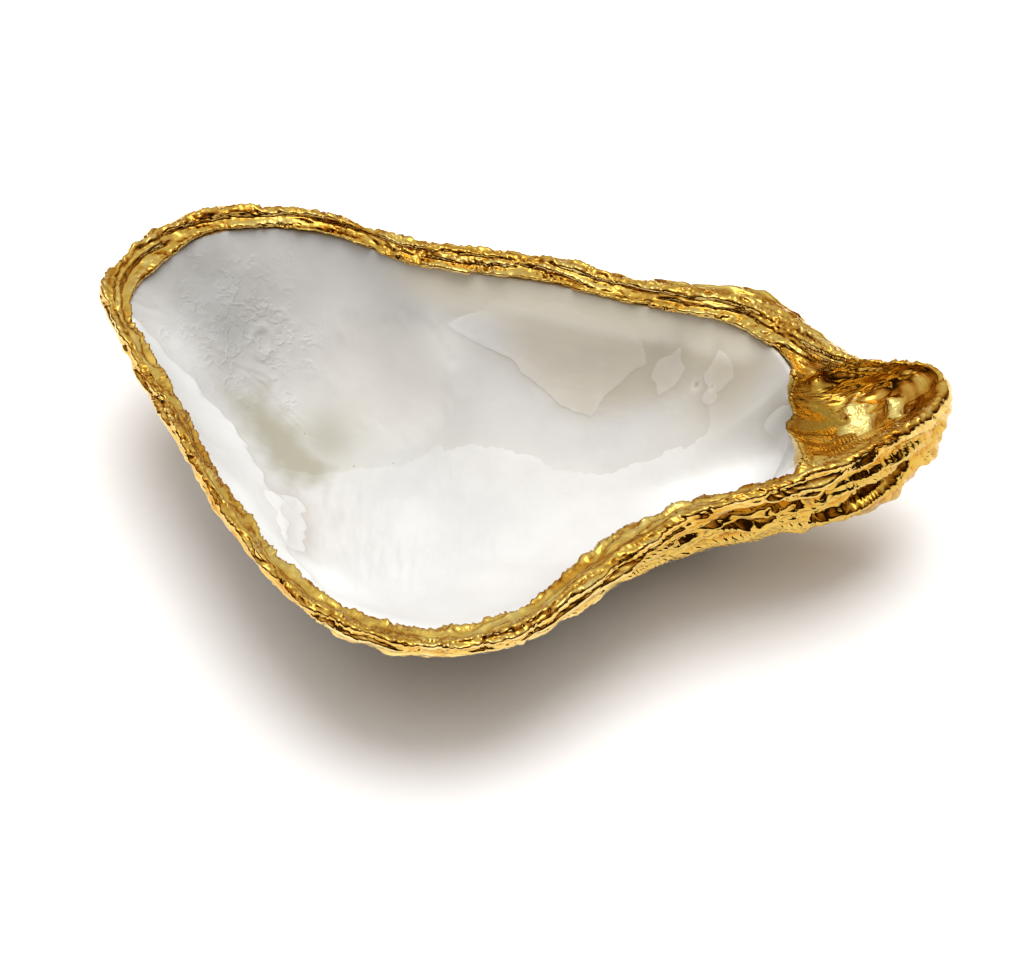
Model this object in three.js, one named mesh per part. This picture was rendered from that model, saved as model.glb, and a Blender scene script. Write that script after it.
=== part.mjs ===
import * as THREE from 'three';

// Oyster shell: the cupped lower valve lying open side up, with its beak towards +X.
// Millimetres, +Z up. It rests on a worn flat patch of its belly at Z = 0.

// Driving dimensions
const HOLLOW = { x: -7.8, y: -0.3, floor: 4.2 }; // deepest point of the hollow
const BELLY = { bend: 2.4, wear: 0.09 };      // roundness of the outside, share worn flat
const LIP_STEP = { base: 1.3, slope: 0.16 };  // crest down to the hollow's edge, by lip width
const LIP_DISH = { from: 5, slope: 0.24 };    // hollowing of the hinge plate, by lip width
const UNDERCUT = { from: 7, share: 0.4 };     // how far the hollow runs under the hinge plate
const LEDGE = 1.3;                            // how far one growth layer stands out of the next
const LAYER_EDGES = [1, 0.9, 0.79, 0.67, 0.54, 0.42];  // old edges, as shares of the way out
const LAST_LAYER = 0.31;                      // where the innermost layer meets the worn patch
const UNEVEN = 0.4;                           // waviness of the widest line
const ROUNDING = 0.13;                        // share of the rim over which inner rows are evened out

// Stations round the rim, anticlockwise from the tip of the beak. Each holds the crest's
// x, y and z, the lip (crest in to the hollow's edge), the flare and the drop (crest out and
// down to the widest line) and the power by which the hollow's wall steepens outwards.
const RIM = [
  [60.8, 3.2, 29.0, 21.5, 0.7, 5.5, 5.0],
  [59.8, 7.2, 29.0, 21.0, 0.7, 4.5, 5.0],
  [52.2, 9.0, 28.0, 13.0, 1.1, 3.0, 4.5],
  [46.7, 10.5, 27.5, 7.0, 1.5, 2.5, 4.0],
  [40.7, 15.5, 27.0, 3.6, 2.7, 2.0, 3.2],
  [33.2, 21.4, 26.5, 3.0, 4.5, 1.8, 2.6],
  [25.2, 23.5, 26.5, 2.7, 3.0, 1.8, 2.3],
  [17.7, 25.7, 26.0, 2.6, 1.2, 1.8, 2.2],
  [5.7, 29.8, 26.0, 2.5, 0.8, 1.8, 2.0],
  [-6.3, 32.0, 26.0, 2.4, 0.8, 1.8, 1.9],
  [-18.3, 34.0, 26.5, 2.4, 0.8, 1.8, 1.9],
  [-28.8, 38.1, 27.0, 2.4, 0.7, 1.8, 2.0],
  [-40.8, 39.2, 27.5, 2.4, 0.7, 1.8, 2.2],
  [-50.1, 36.8, 28.0, 2.6, 0.7, 1.8, 2.5],
  [-57.3, 30.7, 28.5, 3.2, 0.7, 1.8, 2.9],
  [-60.8, 22.5, 29.0, 3.0, 0.8, 1.6, 3.1],
  [-57.8, 14.0, 28.5, 2.4, 0.6, 1.4, 3.0],
  [-50.1, -1.3, 27.5, 2.0, 0.6, 1.4, 2.6],
  [-44.6, -12.8, 27.0, 2.0, 0.6, 1.4, 2.5],
  [-37.8, -23.4, 26.5, 2.1, 0.6, 1.4, 2.5],
  [-31.3, -31.4, 26.0, 2.3, 0.6, 1.4, 2.6],
  [-24.6, -35.9, 25.5, 2.6, 0.7, 1.4, 2.7],
  [-16.3, -39.2, 25.5, 2.9, 0.8, 1.4, 2.8],
  [-7.3, -38.8, 25.0, 3.2, 0.8, 1.4, 2.8],
  [1.2, -35.3, 25.0, 3.4, 0.9, 1.6, 2.9],
  [8.2, -29.5, 25.5, 3.2, 1.0, 1.9, 3.0],
  [15.2, -23.5, 26.0, 3.3, 1.2, 2.4, 3.2],
  [23.7, -18.3, 27.0, 3.4, 1.4, 3.8, 3.4],
  [33.7, -14.9, 28.0, 3.4, 1.6, 6.8, 3.8],
  [43.7, -11.3, 29.0, 3.8, 1.6, 10.8, 4.4],
  [52.7, -6.3, 30.0, 13.0, 1.4, 12.0, 5.0],
  [58.7, -0.8, 29.5, 20.5, 1.0, 8.8, 5.0],
];

// Mesh density
const COLUMNS = 132;
const HOLLOW_ROWS = 12;
const LIP_ROWS = 4;
const SHOULDER_ROWS = 2;

// One point of the closed smooth curve through the stations, at position u from 0 to 1.
function rimAt(u) {
  const at = u * RIM.length;
  const i = Math.floor(at);
  const f = at - i;
  const [a, b, c, d] = [-1, 0, 1, 2].map((step) => RIM[(i + step + RIM.length) % RIM.length]);
  return b.map((value, n) => value + 0.5 * f * (c[n] - a[n]
    + f * (2 * a[n] - 5 * value + 4 * c[n] - d[n] + f * (3 * (value - c[n]) + d[n] - a[n]))));
}

// Columns of the mesh, evenly spaced along the crest. Each runs out from the hollow's middle.
function rimColumns(count) {
  const fine = 4000;
  const lengths = [0];
  for (let i = 1; i <= fine; i++) {
    const [x0, y0] = rimAt((i - 1) / fine);
    const [x1, y1] = rimAt(i / fine);
    lengths.push(lengths[i - 1] + Math.hypot(x1 - x0, y1 - y0));
  }
  const columns = [];
  let i = 0;
  for (let n = 0; n < count; n++) {
    const wanted = (lengths[fine] * n) / count;
    while (lengths[i + 1] < wanted) i++;
    const share = (wanted - lengths[i]) / (lengths[i + 1] - lengths[i]);
    const [x, y, crest, lip, flare, drop, steep] = rimAt((i + share) / fine);
    const out = new THREE.Vector2(x - HOLLOW.x, y - HOLLOW.y);
    const turn = (2 * Math.PI * n) / count;
    const radius = out.length();
    const inside = radius - lip;
    const widest = radius + flare + UNEVEN * waves(turn, 4);
    const height = crest - drop;
    out.normalize();
    columns.push({ turn, out, radius, crest, lip, flare, drop, steep, inside, widest, height });
  }
  soften(columns, 'inside');
  soften(columns, 'widest');
  soften(columns, 'height');
  return columns;
}

// Adds an evened-out copy of one value to the columns, so that rows far from the rim are rounder.
function soften(columns, name) {
  const count = columns.length;
  const reach = Math.round(ROUNDING * count);
  columns.forEach((column, i) => {
    let sum = 0;
    let weights = 0;
    for (let step = -reach; step <= reach; step++) {
      const weight = 1 + Math.cos((Math.PI * step) / reach);
      sum += weight * columns[(i + step + count) % count][name];
      weights += weight;
    }
    column[`${name}Soft`] = sum / weights;
  });
}

// A column's value at a row: evened out in the middle (t = 0), as it is at the rim (t = 1).
const blend = (column, name, t) => {
  const soft = column[`${name}Soft`];
  return soft + (column[name] - soft) * t ** 4;
};

const smooth = (t) => t * t * (3 - 2 * t);

// Uneven waves round the shell, between about -1 and 1, that close after one turn.
const waves = (turn, shift) => 0.5 * Math.sin(7 * turn + shift)
  + 0.3 * Math.sin(13 * turn + 2.3 * shift) + 0.2 * Math.sin(22 * turn + 3.7 * shift);

function place(column, radius, z) {
  return new THREE.Vector3(
    HOLLOW.x + column.out.x * radius, HOLLOW.y + column.out.y * radius, Math.max(z, 0));
}

const edgeHeight = (column) => column.crest - LIP_STEP.base - LIP_STEP.slope * column.lip;

// The hollow, from its deepest point (t = 0) to the edge of the lip (t = 1).
function hollowPoint(column, t) {
  const undercut = UNDERCUT.share * Math.max(column.lip - UNDERCUT.from, 0);
  const radius = blend(column, 'inside', t) * t + undercut * Math.sin(Math.PI * t ** 5);
  const rise = edgeHeight(column) - HOLLOW.floor;
  return place(column, radius, HOLLOW.floor + rise * t ** column.steep);
}

// The lip, from the edge of the hollow (s = 0) to the crest (s = 1): a rounded ridge round
// most of the shell, and the dished hinge plate at the beak.
function lipPoint(column, s) {
  const low = edgeHeight(column);
  const dish = LIP_DISH.slope * (column.lip - LIP_DISH.from) * Math.sin(Math.PI * s);
  const ridge = 0.25 * waves(column.turn, 9 * s) * Math.sin(Math.PI * s);
  const z = low + (column.crest - low) * smooth(s) - dish + ridge;
  return place(column, column.radius - column.lip * (1 - s), z);
}

// The shoulder, from the crest (w = 0) out and down to the widest line (w = 1).
function shoulderPoint(column, w) {
  const bulge = column.flare * Math.sin((Math.PI / 2) * w);
  const uneven = UNEVEN * waves(column.turn, 4) * w;
  return place(column, column.radius + bulge + uneven, column.crest - column.drop * w * w);
}

// The outside, from the widest line (reach = 1) down to the worn patch under the middle.
// layer is 1 at the edge of a growth layer and 0 where it comes out from under the next one.
function outsidePoint(column, reach, layer, shift) {
  const radius = blend(column, 'widest', reach) * reach;
  const z = blend(column, 'height', reach) * ((1 + BELLY.wear) * reach ** BELLY.bend - BELLY.wear);
  const fade = Math.min(1, Math.max(z, 0) / 4);
  const ledge = LEDGE * layer * fade * (0.7 + 0.6 * waves(column.turn, shift));
  return place(column, radius + 0.75 * ledge, z - 0.65 * ledge);
}

function shellRows(columns) {
  const rows = [];
  const addRow = (point) => rows.push(columns.map(point));
  for (let i = 1; i <= HOLLOW_ROWS; i++) addRow((c) => hollowPoint(c, (i / HOLLOW_ROWS) ** 0.8));
  for (let i = 1; i <= LIP_ROWS; i++) addRow((c) => lipPoint(c, i / LIP_ROWS));
  for (let i = 1; i < SHOULDER_ROWS; i++) addRow((c) => shoulderPoint(c, i / SHOULDER_ROWS));
  LAYER_EDGES.forEach((edge, n) => {
    const next = (LAYER_EDGES[n + 1] ?? LAST_LAYER) + 0.008;
    const first = n === 0 ? 0 : 1;
    addRow((c) => outsidePoint(c, edge, first, n));
    addRow((c) => outsidePoint(c, (edge + next) / 2, first / 2, n));
    addRow((c) => outsidePoint(c, next, 0, n));
  });
  return rows;
}

// One closed skin: a pole in the hollow, the rows, and a pole in the worn patch.
function shellGeometry() {
  const rows = shellRows(rimColumns(COLUMNS));
  const points = [new THREE.Vector3(HOLLOW.x, HOLLOW.y, HOLLOW.floor), ...rows.flat()];
  points.push(new THREE.Vector3(HOLLOW.x, HOLLOW.y, 0));
  const at = (row, column) => 1 + row * COLUMNS + (column % COLUMNS);
  const last = points.length - 1;
  const faces = [];
  for (let c = 0; c < COLUMNS; c++) {
    faces.push(0, at(0, c), at(0, c + 1));
    for (let r = 0; r + 1 < rows.length; r++) {
      faces.push(at(r, c), at(r + 1, c), at(r + 1, c + 1));
      faces.push(at(r, c), at(r + 1, c + 1), at(r, c + 1));
    }
    faces.push(last, at(rows.length - 1, c + 1), at(rows.length - 1, c));
  }
  const geometry = new THREE.BufferGeometry().setFromPoints(points);
  geometry.setIndex(faces);
  geometry.computeVertexNormals();
  return geometry;
}

const pearl = new THREE.MeshStandardMaterial({ color: 0xe6e3dc, roughness: 0.35, metalness: 0 });
const shell = new THREE.Mesh(shellGeometry(), pearl);
shell.name = 'oyster_shell';

const oyster = new THREE.Group();
oyster.add(shell);

export default oyster;
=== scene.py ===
# %% [markdown]
# # An oyster shell with a gilded rim
# The real object is the cupped half of an oyster. It grew as one piece: pearl inside, layers of dull
# crust outside, and a thick hinge plate at the beak. Its rim and hinge were then plated with bright gold.
# The part's solid gives the size and the main shape. This lesson lays three skins over that same shape,
# each with the relief and the finish of its own surface: the pearl, the crust and the gilding.

# %% Open the frame
from types import SimpleNamespace

import bpy
import numpy as np
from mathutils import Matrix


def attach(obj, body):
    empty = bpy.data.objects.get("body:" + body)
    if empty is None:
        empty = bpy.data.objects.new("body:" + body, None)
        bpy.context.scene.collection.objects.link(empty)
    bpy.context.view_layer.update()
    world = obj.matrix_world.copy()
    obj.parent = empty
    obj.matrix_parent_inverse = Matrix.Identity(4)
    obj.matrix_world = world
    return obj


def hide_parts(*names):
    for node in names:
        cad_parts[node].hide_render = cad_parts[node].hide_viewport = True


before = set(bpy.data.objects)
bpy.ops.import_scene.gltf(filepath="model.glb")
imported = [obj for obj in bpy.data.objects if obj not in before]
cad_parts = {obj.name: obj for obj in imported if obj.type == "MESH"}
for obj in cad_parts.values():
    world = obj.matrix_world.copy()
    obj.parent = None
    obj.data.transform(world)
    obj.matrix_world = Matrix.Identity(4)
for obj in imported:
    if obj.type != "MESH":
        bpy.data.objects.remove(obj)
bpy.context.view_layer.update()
MM = 0.001

# %% [markdown]
# ## The shape of the shell
# The solid is drawn from stations round the rim. Each station gives the crest of the rim and how the
# shell falls away from it on both sides. The same stations and rules are used here, in millimetres,
# so the skins lie on the solid without any fitting.

# %% Stations round the rim
HOLLOW_X, HOLLOW_Y, HOLLOW_FLOOR = -7.8, -0.3, 4.2   # deepest point of the hollow
BELLY_BEND, BELLY_WEAR = 2.4, 0.09                   # roundness of the outside, share worn flat
STEP_BASE, STEP_SLOPE = 1.3, 0.16                    # crest down to the hollow's edge, by lip width
DISH_FROM, DISH_SLOPE = 5, 0.24                      # hollowing of the hinge plate, by lip width
UNDERCUT_FROM, UNDERCUT_SHARE = 7, 0.4               # how far the hollow runs under the plate
LAYER_EDGES = [0.31, 0.42, 0.54, 0.67, 0.79, 0.9, 1]  # old growth edges, as shares of the way out
UNEVEN = 0.4                                         # waviness of the widest line
ROUNDING = 0.13                                      # share of the rim that inner rows are evened over

# Crest x, y and z, lip (crest in to the hollow's edge), flare and drop (crest out and down to the
# widest line), and the power by which the hollow's wall steepens outwards.
RIM = np.array([
    [60.8, 3.2, 29.0, 21.5, 0.7, 5.5, 5.0],
    [59.8, 7.2, 29.0, 21.0, 0.7, 4.5, 5.0],
    [52.2, 9.0, 28.0, 13.0, 1.1, 3.0, 4.5],
    [46.7, 10.5, 27.5, 7.0, 1.5, 2.5, 4.0],
    [40.7, 15.5, 27.0, 3.6, 2.7, 2.0, 3.2],
    [33.2, 21.4, 26.5, 3.0, 4.5, 1.8, 2.6],
    [25.2, 23.5, 26.5, 2.7, 3.0, 1.8, 2.3],
    [17.7, 25.7, 26.0, 2.6, 1.2, 1.8, 2.2],
    [5.7, 29.8, 26.0, 2.5, 0.8, 1.8, 2.0],
    [-6.3, 32.0, 26.0, 2.4, 0.8, 1.8, 1.9],
    [-18.3, 34.0, 26.5, 2.4, 0.8, 1.8, 1.9],
    [-28.8, 38.1, 27.0, 2.4, 0.7, 1.8, 2.0],
    [-40.8, 39.2, 27.5, 2.4, 0.7, 1.8, 2.2],
    [-50.1, 36.8, 28.0, 2.6, 0.7, 1.8, 2.5],
    [-57.3, 30.7, 28.5, 3.2, 0.7, 1.8, 2.9],
    [-60.8, 22.5, 29.0, 3.0, 0.8, 1.6, 3.1],
    [-57.8, 14.0, 28.5, 2.4, 0.6, 1.4, 3.0],
    [-50.1, -1.3, 27.5, 2.0, 0.6, 1.4, 2.6],
    [-44.6, -12.8, 27.0, 2.0, 0.6, 1.4, 2.5],
    [-37.8, -23.4, 26.5, 2.1, 0.6, 1.4, 2.5],
    [-31.3, -31.4, 26.0, 2.3, 0.6, 1.4, 2.6],
    [-24.6, -35.9, 25.5, 2.6, 0.7, 1.4, 2.7],
    [-16.3, -39.2, 25.5, 2.9, 0.8, 1.4, 2.8],
    [-7.3, -38.8, 25.0, 3.2, 0.8, 1.4, 2.8],
    [1.2, -35.3, 25.0, 3.4, 0.9, 1.6, 2.9],
    [8.2, -29.5, 25.5, 3.2, 1.0, 1.9, 3.0],
    [15.2, -23.5, 26.0, 3.3, 1.2, 2.4, 3.2],
    [23.7, -18.3, 27.0, 3.4, 1.4, 3.8, 3.4],
    [33.7, -14.9, 28.0, 3.4, 1.6, 6.8, 3.8],
    [43.7, -11.3, 29.0, 3.8, 1.6, 10.8, 4.4],
    [52.7, -6.3, 30.0, 13.0, 1.4, 12.0, 5.0],
    [58.7, -0.8, 29.5, 20.5, 1.0, 8.8, 5.0],
])
print("stations:", len(RIM))

# %% Columns round the shell


def rim_curve(u):
    """Points of the closed smooth curve through the stations, u from 0 to 1."""
    at = u * len(RIM)
    i = np.floor(at).astype(int)
    f = (at - i)[:, None]
    a, b, c, d = (RIM[(i + step) % len(RIM)] for step in (-1, 0, 1, 2))
    return b + 0.5 * f * (c - a + f * (2 * a - 5 * b + 4 * c - d + f * (3 * (b - c) + d - a)))


def soften(values):
    """The values evened out along the rim."""
    count = len(values)
    step = np.arange(count)
    away = np.minimum(step, count - step) / count
    weight = np.where(away < ROUNDING, 1 + np.cos(np.pi * away / ROUNDING), 0)
    spread = np.fft.fft(weight / weight.sum())
    return np.real(np.fft.ifft(np.fft.fft(values) * spread))


def waves(turn, shift):
    """Uneven waves round the shell, about -1 to 1, that close after one turn."""
    return (0.5 * np.sin(7 * turn + shift) + 0.3 * np.sin(13 * turn + 2.3 * shift)
            + 0.2 * np.sin(22 * turn + 3.7 * shift))


def rim_columns(count):
    """Columns evenly spaced along the crest, each running out from the hollow's middle."""
    u = np.linspace(0, 1, 8001)
    steps = np.diff(rim_curve(u)[:, :2], axis=0)
    length = np.concatenate([[0], np.cumsum(np.hypot(steps[:, 0], steps[:, 1]))])
    at = np.interp(np.arange(count) / count * length[-1], length, u)
    x, y, crest, lip, flare, drop, steep = rim_curve(at).T
    radius = np.hypot(x - HOLLOW_X, y - HOLLOW_Y)
    turn = 2 * np.pi * np.arange(count) / count
    c = SimpleNamespace(turn=turn, radius=radius, crest=crest, lip=lip, flare=flare, drop=drop,
                        steep=steep, rim_length=length[-1])
    c.out = np.stack([(x - HOLLOW_X) / radius, (y - HOLLOW_Y) / radius], axis=-1)
    c.edge = crest - STEP_BASE - STEP_SLOPE * lip
    c.inside = radius - lip
    c.widest = radius + flare + UNEVEN * waves(turn, 4)
    c.height = crest - drop
    c.inside_soft, c.widest_soft, c.height_soft = soften(c.inside), soften(c.widest), soften(c.height)
    return c


print("rim length, mm:", round(rim_columns(100).rim_length, 1))

# %% The four stretches of the surface


def place(c, radius, z):
    """Points at a radius and a height on each column, never under the table."""
    middle = np.array([HOLLOW_X, HOLLOW_Y])
    return np.column_stack([middle + c.out * np.reshape(radius, (-1, 1)), np.maximum(z, 0)])


def smooth(t):
    t = np.clip(t, 0, 1)
    return t * t * (3 - 2 * t)


def blend(soft, sharp, t):
    """Evened out in the middle (t = 0), as it is at the rim (t = 1)."""
    return soft + (sharp - soft) * t ** 4


def hollow(c, t):
    """The hollow, from its deepest point (t = 0) to the edge of the lip (t = 1)."""
    undercut = UNDERCUT_SHARE * np.maximum(c.lip - UNDERCUT_FROM, 0)
    radius = blend(c.inside_soft, c.inside, t) * t + undercut * np.sin(np.pi * t ** 5)
    return place(c, radius, HOLLOW_FLOOR + (c.edge - HOLLOW_FLOOR) * t ** c.steep)


def lip(c, s):
    """The lip, from the edge of the hollow (s = 0) to the crest (s = 1)."""
    dish = DISH_SLOPE * (c.lip - DISH_FROM) * np.sin(np.pi * s)
    return place(c, c.inside + c.lip * s, c.edge + (c.crest - c.edge) * smooth(s) - dish)


def shoulder(c, w):
    """The shoulder, from the crest (w = 0) out and down to the widest line (w = 1)."""
    bulge = c.flare * np.sin(np.pi / 2 * w) + UNEVEN * waves(c.turn, 4) * w
    return place(c, c.radius + bulge, c.crest - c.drop * w * w)


def outside(c, reach):
    """The outside, from the widest line (reach = 1) down to the worn patch under the middle."""
    height = blend(c.height_soft, c.height, reach)
    return place(c, blend(c.widest_soft, c.widest, reach) * reach,
                 height * ((1 + BELLY_WEAR) * reach ** BELLY_BEND - BELLY_WEAR))


print("hollow, mm deep:", round(float(rim_columns(100).crest.mean() - HOLLOW_FLOOR), 1))

# %% Borders of the plating
GILT_IN, GILT_IN_WAVES = 0.45, 0.3              # how far the plating runs down into the hollow
GILT_IN_PLATE, PEARL_SHORT = 2.0, 0.9           # further under the hinge plate, where the pearl stops short
PLATE_LIP_FROM, PLATE_LIP_BY = 6.0, 4.0         # width of the lip where it becomes the hinge plate
GILT_REACH, GILT_REACH_FALL = 0.88, 0.13        # where it ends outside, further down on the beak
BEAK_DROP_FROM, BEAK_DROP_BY = 1.2, 2.2         # drop of the shoulder where the beak begins


def beak(c):
    """1 where the shoulder drops far, as on the beak, and 0 on the thin rim."""
    return smooth((c.drop - BEAK_DROP_FROM) / BEAK_DROP_BY)


def hinge(c):
    """1 where the lip is the wide hinge plate, and 0 on the rim."""
    return smooth((c.lip - PLATE_LIP_FROM) / PLATE_LIP_BY)


def plating_start(c):
    """Share of the way out of the hollow where the plating begins."""
    return 1 - (GILT_IN + GILT_IN_PLATE * hinge(c) + GILT_IN_WAVES * waves(c.turn, 2)) / c.inside


def plating_end(c):
    """Reach of the outside where the plating ends."""
    return GILT_REACH - GILT_REACH_FALL * beak(c)


print("plating inside, mm:", GILT_IN, "on the rim and", GILT_IN + GILT_IN_PLATE, "on the hinge plate")

# %% [markdown]
# ## Helpers
# A skin is a grid: rows that run round the shell, one column for each place on the rim. What the relief
# and the finish need to know about a point, such as how far it is from the crest, is stored on the mesh
# as a named attribute, so nodes can read it.

# %% Make a skin from rows of points


def skin(name, rows, attributes, ring=False):
    """A closed mesh from rows of points in mm: a ring of rows, or rows closed by a pole at each end."""
    rows = np.asarray(rows)
    n_rows, n_columns = rows.shape[:2]
    points = rows.reshape(-1, 3)
    if not ring:
        points = np.vstack([points, rows[0].mean(axis=0), rows[-1].mean(axis=0)])
    row, column = np.meshgrid(np.arange(n_rows if ring else n_rows - 1), np.arange(n_columns), indexing="ij")
    here, beside = row * n_columns, (row + 1) % n_rows * n_columns
    across = (column + 1) % n_columns
    quads = np.stack([here + column, beside + column, beside + across, here + across], -1).reshape(-1, 4)
    faces = quads.tolist()
    if not ring:
        start, end = len(points) - 2, len(points) - 1
        first, last = np.arange(n_columns), np.arange(n_columns) + (n_rows - 1) * n_columns
        faces += np.stack([np.full(n_columns, start), first, np.roll(first, -1)], -1).tolist()
        faces += np.stack([np.full(n_columns, end), np.roll(last, -1), last], -1).tolist()
    mesh = bpy.data.meshes.new(name)
    mesh.from_pydata(points * MM, [], faces)
    mesh.polygons.foreach_set("use_smooth", np.ones(len(faces), bool))
    for key, values in attributes.items():
        values = np.asarray(values, float)
        vector = values.ndim == 3
        flat = values.reshape(-1, 3) if vector else values.reshape(-1)
        if not ring:
            flat = np.concatenate([flat, values[0].mean(axis=0)[None], values[-1].mean(axis=0)[None]])
        made = mesh.attributes.new(key, "FLOAT_VECTOR" if vector else "FLOAT", "POINT")
        made.data.foreach_set("vector" if vector else "value", flat.ravel())
    piece = bpy.data.objects.new(name, mesh)
    bpy.context.scene.collection.objects.link(piece)
    return piece


# %% Small helpers for node trees


def node(tree, kind, inputs=None, **settings):
    """Adds a node. An input is a plain value, or another node's output to link."""
    made = tree.nodes.new(kind)
    for key, value in settings.items():
        setattr(made, key, value)
    for key, value in (inputs or {}).items():
        if isinstance(value, bpy.types.NodeSocket):
            tree.links.new(value, made.inputs[key])
        else:
            made.inputs[key].default_value = value
    return made


def math(tree, operation, *values):
    return node(tree, "ShaderNodeMath", dict(enumerate(values)), operation=operation).outputs[0]


def add(tree, *values):
    total = values[0]
    for value in values[1:]:
        total = math(tree, "ADD", total, value)
    return total


def times(tree, *values):
    total = values[0]
    for value in values[1:]:
        total = math(tree, "MULTIPLY", total, value)
    return total


def rest(tree, value):
    """What is left of 1."""
    return math(tree, "SUBTRACT", 1.0, value)


def larger(tree, first, second):
    return math(tree, "MAXIMUM", first, second)


def layers(tree, *pairs):
    """The sum of several heights, each times its own share."""
    return add(tree, *(times(tree, value, share) for value, share in pairs))


# %% Helpers for vectors and noise


def scaled(tree, vector, scale):
    return node(tree, "ShaderNodeVectorMath", {0: vector, "Scale": scale}, operation="SCALE").outputs[0]


def stretch(tree, vector, sizes):
    """The vector divided by a size in each direction."""
    return node(tree, "ShaderNodeVectorMath", {0: vector, 1: sizes}, operation="DIVIDE").outputs[0]


def toward(tree, vector, side):
    """How far the vector reaches towards a side."""
    return node(tree, "ShaderNodeVectorMath", {0: vector, 1: side}, operation="DOT_PRODUCT").outputs["Value"]


def noise(tree, vector, detail=2.0, scale=1.0, roughness=0.5, seed=0.0):
    """Cloudy noise from 0 to 1, about one cloud for each unit of the vector."""
    made = node(tree, "ShaderNodeTexNoise", {"Vector": vector, "Scale": scale, "Detail": detail,
                                              "Roughness": roughness, "W": seed}, noise_dimensions="4D")
    return made.outputs[0]


def swing(tree, vector, detail=2.0, scale=1.0, roughness=0.5, seed=0.0):
    """The same noise about 0, from -0.5 to 0.5."""
    return math(tree, "SUBTRACT", noise(tree, vector, detail, scale, roughness, seed), 0.5)


def ramp(tree, value, low, high, to_low=0.0, to_high=1.0):
    """A smooth change from to_low to to_high as the value goes from low to high."""
    made = node(tree, "ShaderNodeMapRange", {"Value": value, "From Min": low, "From Max": high,
                                              "To Min": to_low, "To Max": to_high},
                interpolation_type="SMOOTHSTEP")
    return made.outputs[0]


# %% Helpers for Geometry Nodes


def relief_tree(name, sizes):
    """A tree with named inputs for its sizes. Returns the tree and its inputs."""
    tree = bpy.data.node_groups.new(name, "GeometryNodeTree")
    tree.interface.new_socket("Geometry", in_out="INPUT", socket_type="NodeSocketGeometry")
    for key in sizes:
        tree.interface.new_socket(key, in_out="INPUT", socket_type="NodeSocketFloat")
    tree.interface.new_socket("Finish", in_out="INPUT", socket_type="NodeSocketMaterial")
    tree.interface.new_socket("Geometry", in_out="OUTPUT", socket_type="NodeSocketGeometry")
    return tree, node(tree, "NodeGroupInput").outputs


def point_in_mm(tree):
    """Where a point of the skin is, in mm."""
    return stretch(tree, node(tree, "GeometryNodeInputPosition").outputs[0], (MM, MM, MM))


def stored(tree, name, kind="FLOAT"):
    """A named attribute of the skin."""
    return node(tree, "GeometryNodeInputNamedAttribute", {"Name": name}, data_type=kind).outputs[0]


def close_tree(tree, given, height, keep=None):
    """Raises the skin along its normals by a height in mm, keeps masks for the finish and ends the tree."""
    normal = node(tree, "GeometryNodeInputNormal").outputs[0]
    offset = scaled(tree, normal, times(tree, height, MM))
    moved = {"Geometry": given["Geometry"], "Offset": offset}
    shape = node(tree, "GeometryNodeSetPosition", moved).outputs[0]
    for name, value in (keep or {}).items():
        kept = {"Geometry": shape, "Name": name, "Value": value}
        shape = node(tree, "GeometryNodeStoreNamedAttribute", kept, data_type="FLOAT",
                     domain="POINT").outputs[0]
    shape = node(tree, "GeometryNodeRealizeInstances", {"Geometry": shape}).outputs[0]
    shape = node(tree, "GeometryNodeSetMaterial", {"Geometry": shape, "Material": given["Finish"]}).outputs[0]
    node(tree, "NodeGroupOutput", {"Geometry": shape})


def apply_relief(piece, tree, sizes, finish):
    """Runs the tree on the piece and leaves a plain mesh that doesn't sink into the table."""
    modifier = piece.modifiers.new("relief", "NODES")
    modifier.node_group = tree
    for item in tree.interface.items_tree:
        if item.in_out == "INPUT" and item.name in sizes:
            modifier[item.identifier] = float(sizes[item.name])
        if item.in_out == "INPUT" and item.name == "Finish":
            modifier[item.identifier] = finish
    scene_state = bpy.context.evaluated_depsgraph_get()
    mesh = bpy.data.meshes.new_from_object(piece.evaluated_get(scene_state))
    piece.modifiers.clear()
    plain, piece.data = piece.data, mesh
    bpy.data.meshes.remove(plain)
    mesh.name = piece.name
    points = np.zeros(len(mesh.vertices) * 3)
    mesh.vertices.foreach_get("co", points)
    points[2::3] = np.maximum(points[2::3], 0)
    mesh.vertices.foreach_set("co", points)
    mesh.update()
    triangles = sum(len(face.vertices) - 2 for face in mesh.polygons)
    print(f"{piece.name}: {triangles} triangles, {len(mesh.materials)} finish")


# %% [markdown]
# ## Finishes
# Three finishes cover the shell. The pearl is glossy and clouded: white, grey and cream run into each
# other, and its thin sheets show by a paler line inside their edges and a dimmer one outside. Part of its
# white is painted light on walls that face the light, and part of its grey and warm tones is painted shade
# on walls that face away. The crust is dull, with pale layer edges and brown bands. The gilding is polished
# metal, so most of its look comes from its relief and from what it mirrors; its paler gold on crests and
# flats is a painted highlight, and its darker gold in grooves, folds and on the beak's wall is painted shade.
# All three have clouds in them, so the clouds are a node group.

# %% Clouds, shared by the finishes


def place_in_mm(tree):
    """Where a point of the piece is, in mm."""
    return scaled(tree, node(tree, "ShaderNodeTexCoord").outputs["Object"], 1 / MM)


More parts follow.
